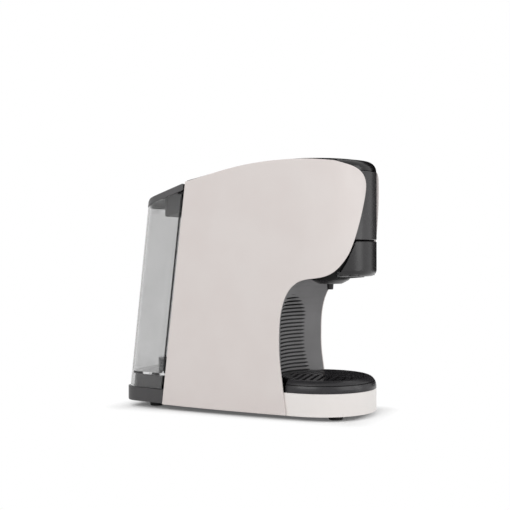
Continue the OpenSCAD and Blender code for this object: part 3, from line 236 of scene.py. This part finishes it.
FINISH = {
    "base_plate": SPARK_PP, "base_skirt": SKIRT_ABS, "feet": RUBBER, "base_screws": ZINC,
    "side_panel_left": WARM_ABS, "side_panel_right": WARM_ABS, "rear_cover": SPARK_PP,
    "top_cover": CROWN_ABS, "head_front_cover": CHARCOAL_ABS, "head_deck": SPARK_PP,
    "head_floor": BLACK_PP_PAINTED_SHADE, "bay_wall": RIBBED_ABS, "drip_tray": TRAY_ABS, "drip_grid": TRAY_ABS,
    "chassis": ZINC, "group_bridge": CAST_ALU, "bridge_screws": ZINC, "lever": CROWN_ABS,
    "lever_pin": GROUND_STEEL, "lever_cams": GROUND_STEEL, "brew_piston": CAST_ALU,
    "group_seal": SEAL_SILICONE_PAINTED_SHADE, "shower_screen": PUNCHED_STEEL, "piston_springs": SPRING_STEEL,
    "drawer_rails": GREY_ACETAL, "pod_drawer": DRAWER_ABS, "pod_cup": CAST_ALU,
    "pod_filter": PUNCHED_STEEL, "coffee_dish": DRAWER_ABS, "tank_dock": DOCK_ABS,
    "dock_plate": SPARK_PP, "dock_seal": RUBBER, "cord_gland": RUBBER, "water_tank": CLEAR,
    "tank_lid": LID_ABS, "lid_grip_cup": GRIP_ABS, "lid_pin": GROUND_STEEL, "tank_valve": GREY_ACETAL,
    "valve_plunger": ACETAL, "valve_spring": SPRING_STEEL, "pump": PUMP_CASE,
    "pump_mounts": RUBBER, "flow_meter": ACETAL, "thermoblock": CAST_ALU,
    "boiler_feet": HEATPROOF, "suction_hose": HOSE_SILICONE, "meter_hose": HOSE_SILICONE,
    "pump_hose": HOSE_SILICONE, "brew_hose": HOSE_SILICONE, "control_board": RESIST,
    "button_power": BRUSHED_ALU, "button_short": BRUSHED_ALU, "button_long": BRUSHED_ALU,
    "spring_power": SPRING_STEEL, "spring_short": SPRING_STEEL, "spring_long": SPRING_STEEL,
    "indicator_lens": AMBER,
}
for name, mat in FINISH.items():
    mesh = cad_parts[name].data
    mesh.materials.clear()
    mesh.materials.append(mat)


# ---------- side panels ----------

# The panels' outline as in the CAD source, in mm, with y from the middle of the round nose
NOSE_Y = -79.65                    # that middle in the frame
PANEL_R = 61.5                     # outer face round the nose
SWEEP_R = 1058.0                   # the flanks draw in along this radius behind it
PANEL_T = 2.2
PANEL_TOP, PEAK_Y, ARCH_R = 262.2, 5.4, 387.0
ARCH_Z = PANEL_TOP - ARCH_R        # the middle of the arched top line
SLOPE = math.radians(12.5)         # the straight fall of the top line behind the arch
REAR_TOP_Y = 132.4
LEAN = math.tan(math.radians(7.3))  # the rear edge leans with the tank
LOW_Z = 5.0
EDGE_ROUND = 0.9
ACROSS, UP = 64, 120               # faces along the panel and up it
RUN_STEPS = 40                     # points of one curved run of the front edge
TOP_STEPS = 90
BULGE_Y = -math.sqrt(PANEL_R ** 2 - 21.0 ** 2)  # the edges come within 21 mm of the middle


def top_line(y):
    """Height of the panel's top edge: an arch, then a straight fall."""
    end = PEAK_Y + ARCH_R * math.sin(SLOPE)
    if y > end:
        return ARCH_Z + ARCH_R * math.cos(SLOPE) - (y - end) * math.tan(SLOPE)
    return ARCH_Z + math.sqrt(ARCH_R ** 2 - (y - PEAK_Y) ** 2)


BROW_Y = BULGE_Y + 22.4
# Points of the front edge from the toe up: place, pull ahead and pull behind
FRONT_EDGE = (
    ((13.6, LOW_Z), (6.6, 53.6), None),                             # toe
    ((21.4, 84.4), (0, 27.2), (0.4, -28.7)),                        # deepest point of the cup bay
    ((-9.3, 141.8), (-15.6, 2), (24.8, -3.3)),                      # chin
    ((BULGE_Y + 13.2, 163.6), (-7.7, 15.2), (10.3, -20.3)),         # cheek
    ((BULGE_Y, 235.5), (0, 20.6), (0, -12.5)),                      # foremost point
    ((BROW_Y, top_line(BROW_Y)), None, (-12.3, -4.7)),              # brow
)


def curve(start_at, ahead, behind, end_at):
    """Points of one Bezier run between two places, its last point left out."""
    grip = (start_at[0] + ahead[0], start_at[1] + ahead[1])
    hold = (end_at[0] + behind[0], end_at[1] + behind[1])
    out = []
    for t in (i / RUN_STEPS for i in range(RUN_STEPS)):
        weights = ((1 - t) ** 3, 3 * t * (1 - t) ** 2, 3 * t * t * (1 - t), t ** 3)
        parts = [Vector(p) * w for p, w in zip((start_at, grip, hold, end_at), weights)]
        out.append(sum(parts, Vector((0, 0))))
    return out


def along(y):
    """Distance along the plan curve for a place along the machine."""
    return PANEL_R * math.asin(max(y / PANEL_R, -1)) if y < 0 else y


def on_plan(s, z):
    """Outer face of the left panel at a distance along its plan curve."""
    if s < 0:
        return Vector((-PANEL_R * math.cos(s / PANEL_R), PANEL_R * math.sin(s / PANEL_R), z))
    return Vector((SWEEP_R - PANEL_R - math.sqrt(SWEEP_R ** 2 - s * s), s, z))


def even(points, n):
    """n + 1 points at even spacing along a polyline."""
    runs = [0.0]
    for p, q in zip(points, points[1:]):
        runs.append(runs[-1] + (q - p).length)
    out, k = [], 0
    for i in range(n + 1):
        want = runs[-1] * i / n
        while k < len(runs) - 2 and runs[k + 1] < want:
            k += 1
        share = (want - runs[k]) / (runs[k + 1] - runs[k])
        out.append(points[k].lerp(points[k + 1], min(max(share, 0), 1)))
    return out


def panel_borders():
    """Front, rear, bottom and top borders of the panel, unrolled to (along, z)."""
    runs = [curve(low, ahead, behind, high)
            for (low, ahead, _), (high, _, behind) in zip(FRONT_EDGE, FRONT_EDGE[1:])]
    corner = runs.pop()            # the round at the brow is shared by the front and the top
    half = RUN_STEPS // 2
    front = sum(runs, []) + corner[:half + 1]
    top = corner[half:]
    for i in range(TOP_STEPS + 1):
        y = BROW_Y + (REAR_TOP_Y - BROW_Y) * i / TOP_STEPS
        top.append(Vector((y, top_line(y))))
    rear_z = top_line(REAR_TOP_Y)
    heel = Vector((REAR_TOP_Y + (rear_z - LOW_Z) * LEAN, LOW_Z))
    rear = [heel, Vector((REAR_TOP_Y, rear_z))]
    bottom = [Vector(FRONT_EDGE[0][0]), heel]
    return [even([Vector((along(p[0]), p[1])) for p in line], n)
            for line, n in ((front, UP), (rear, UP), (bottom, ACROSS), (top, ACROSS))]


def side_panel(name, side):
    """Curved shell with a small even round along both its edges."""
    front, rear, bottom, top = panel_borders()
    bpy.ops.mesh.primitive_grid_add(x_subdivisions=ACROSS, y_subdivisions=UP, size=2)
    shell = bpy.context.object
    shell.name = name
    for vertex in shell.data.vertices:
        u, v = (vertex.co.x + 1) / 2, (vertex.co.y + 1) / 2
        i, j = round(u * ACROSS), round(v * UP)
        low = bottom[0] * (1 - u) + bottom[ACROSS] * u
        high = top[0] * (1 - u) + top[ACROSS] * u
        corners = low * (1 - v) + high * v
        flat = bottom[i] * (1 - v) + top[i] * v + front[j] * (1 - u) + rear[j] * u - corners
        vertex.co = (on_plan(*flat) + Vector((0, NOSE_Y, 0))) * MM
        vertex.co.x *= -side
    shell.data.update()
    if shell.data.polygons[0].normal.x * side < 0:
        shell.data.flip_normals()
    wall = shell.modifiers.new("wall", "SOLIDIFY")
    wall.thickness, wall.offset = PANEL_T * MM, -1
    edges = shell.modifiers.new("edges", "BEVEL")
    edges.width, edges.segments, edges.limit_method = EDGE_ROUND * MM, 3, "ANGLE"
    edges.angle_limit = math.radians(50)
    for modifier in ("wall", "edges"):
        bpy.ops.object.modifier_apply(modifier=modifier)
    bpy.ops.object.shade_smooth_by_angle(angle=math.radians(40))
    shell.data.materials.append(WARM_ABS)
    cad_panel = name.replace("_shell", "")
    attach(shell, "machine")
    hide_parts(cad_panel)
    bpy.ops.object.select_all(action="DESELECT")


side_panel("side_panel_left_shell", -1)
side_panel("side_panel_right_shell", 1)


# ---------- studio ----------

def seen_directly(tree):
    """1 for camera, glossy and transmission rays, 0 for the rays that light things."""
    path = add(tree, "ShaderNodeLightPath")
    two = add(tree, "ShaderNodeMath", None, {0: path.outputs["Is Camera Ray"],
              1: path.outputs["Is Glossy Ray"]}, operation="ADD")
    return add(tree, "ShaderNodeMath", None, {0: two.outputs[0],
               1: path.outputs["Is Transmission Ray"]}, operation="ADD", use_clamp=True).outputs[0]


def paper_floor():
    """Pale floor that keeps the object's shadow and runs out to white paper round it."""
    mat, tree, shader, place = start("white_paper_floor", Roughness=0.9)
    shader.inputs["Base Color"].default_value = colour("F6F6F6")
    apart = add(tree, "ShaderNodeVectorMath", None, {0: place}, operation="ABSOLUTE")
    past = add(tree, "ShaderNodeVectorMath", {1: FOOTPRINT}, {0: apart.outputs[0]}, operation="SUBTRACT")
    beyond = add(tree, "ShaderNodeVectorMath", {1: (0, 0, 0)}, {0: past.outputs[0]}, operation="MAXIMUM")
    away = add(tree, "ShaderNodeVectorMath", None, {0: beyond.outputs[0]}, operation="LENGTH")
    reach = add(tree, "ShaderNodeMapRange", {"From Min": 0.0, "From Max": SHADOW_REACH, "To Min": NEAR_WHITE},
                {"Value": away.outputs["Value"]})
    share = add(tree, "ShaderNodeMath", None, {0: reach.outputs[0], 1: seen_directly(tree)},
                operation="MULTIPLY")
    white = add(tree, "ShaderNodeEmission", {"Color": colour("FFFFFF"), "Strength": 1.0})
    both = add(tree, "ShaderNodeMixShader", None,
               {0: share.outputs[0], 1: shader.outputs[0], 2: white.outputs[0]})
    tree.links.new(both.outputs[0], tree.nodes["Material Output"].inputs["Surface"])
    return mat


FOOTPRINT = (0.045, 0.125, 0)      # half the standing machine's width and length
SHADOW_REACH = 0.028               # the shadow fades out over this distance from it
NEAR_WHITE = 0.1                   # share of pure white right beside the machine
FLOOR_Z = -0.0005                  # just under the feet, so that no faces coincide
bpy.ops.mesh.primitive_plane_add(size=8, location=(0, 0, FLOOR_Z))
floor = bpy.context.object
floor.name = "floor"
floor.data.materials.append(paper_floor())

world = bpy.data.worlds.new("studio")
bpy.context.scene.world = world
world.use_nodes = True
sky = world.node_tree
sky.nodes.clear()
fill = add(sky, "ShaderNodeBackground", {"Color": colour("FFFFFF"), "Strength": 0.46})
white = add(sky, "ShaderNodeBackground", {"Color": colour("FFFFFF"), "Strength": 1.0})
both = add(sky, "ShaderNodeMixShader", None,
           {0: seen_directly(sky), 1: fill.outputs[0], 2: white.outputs[0]})
add(sky, "ShaderNodeOutputWorld", None, {"Surface": both.outputs[0]})


def soft_box(name, at, aim, size, watts):
    """Rectangular area lamp turned from its place towards the aim."""
    data = bpy.data.lights.new(name, "AREA")
    data.shape = "RECTANGLE"
    data.size, data.size_y = size
    data.energy = watts
    lamp = bpy.data.objects.new(name, data)
    lamp.location = at
    lamp.rotation_euler = (Vector(aim) - Vector(at)).to_track_quat("-Z", "Y").to_euler()
    bpy.context.scene.collection.objects.link(lamp)


# Soft key from the near side, fill from the front, rim from behind, and a strip for the round front
soft_box("key_left", (-1.6, 0.2, 1.3), (0, 0, 0.1), (1.4, 1.4), 17.5)
soft_box("front_fill", (-0.4, -1.9, 0.9), (0, 0, 0.12), (1.0, 1.2), 9.5)
soft_box("rear_rim", (0.8, 1.5, 1.2), (0, 0, 0.15), (1.0, 1.0), 8)
soft_box("nose_strip", (0.25, -1.1, 0.35), (0, -0.08, 0.2), (0.28, 0.9), 2)

# Black flag beyond the nose, for reflections alone: it darkens the far edge of the round front
bpy.ops.mesh.primitive_plane_add(size=1, location=(1.2, -0.03, 0.6), rotation=(0, -math.pi / 2, 0))
flag = bpy.context.object
flag.name = "black_flag"
flag.scale = (1.2, 1.6, 1)
flag_mat, _, flag_shader, _ = start("black_flag_cloth", Roughness=1.0, Specular_IOR_Level=0.0)
flag_shader.inputs["Base Color"].default_value = colour("000000")
flag.data.materials.append(flag_mat)
flag.visible_camera = flag.visible_diffuse = flag.visible_transmission = flag.visible_shadow = False

# ---------- camera ----------

CAM_YAW = math.radians(24.5)       # looking this far from +X towards +Y
CAM_AT = (-0.9862, -0.4539, 0.171)
FRAME_PX, FOCAL_PX, DROP_PX = 510, 1000, 5
SENSOR_MM = 36
cam_data = bpy.data.cameras.new("camera")
cam_data.sensor_width = SENSOR_MM
cam_data.lens = SENSOR_MM * FOCAL_PX / FRAME_PX
cam_data.shift_y = -DROP_PX / FRAME_PX
cam_data.clip_start = 0.01
camera = bpy.data.objects.new("camera", cam_data)
camera.location = CAM_AT
camera.rotation_euler = (math.pi / 2, 0, CAM_YAW - math.pi / 2)
bpy.context.scene.collection.objects.link(camera)
bpy.context.scene.camera = camera
bpy.context.scene.view_settings.view_transform = "Standard"

# ---------- final update -------

bpy.context.view_layer.update()
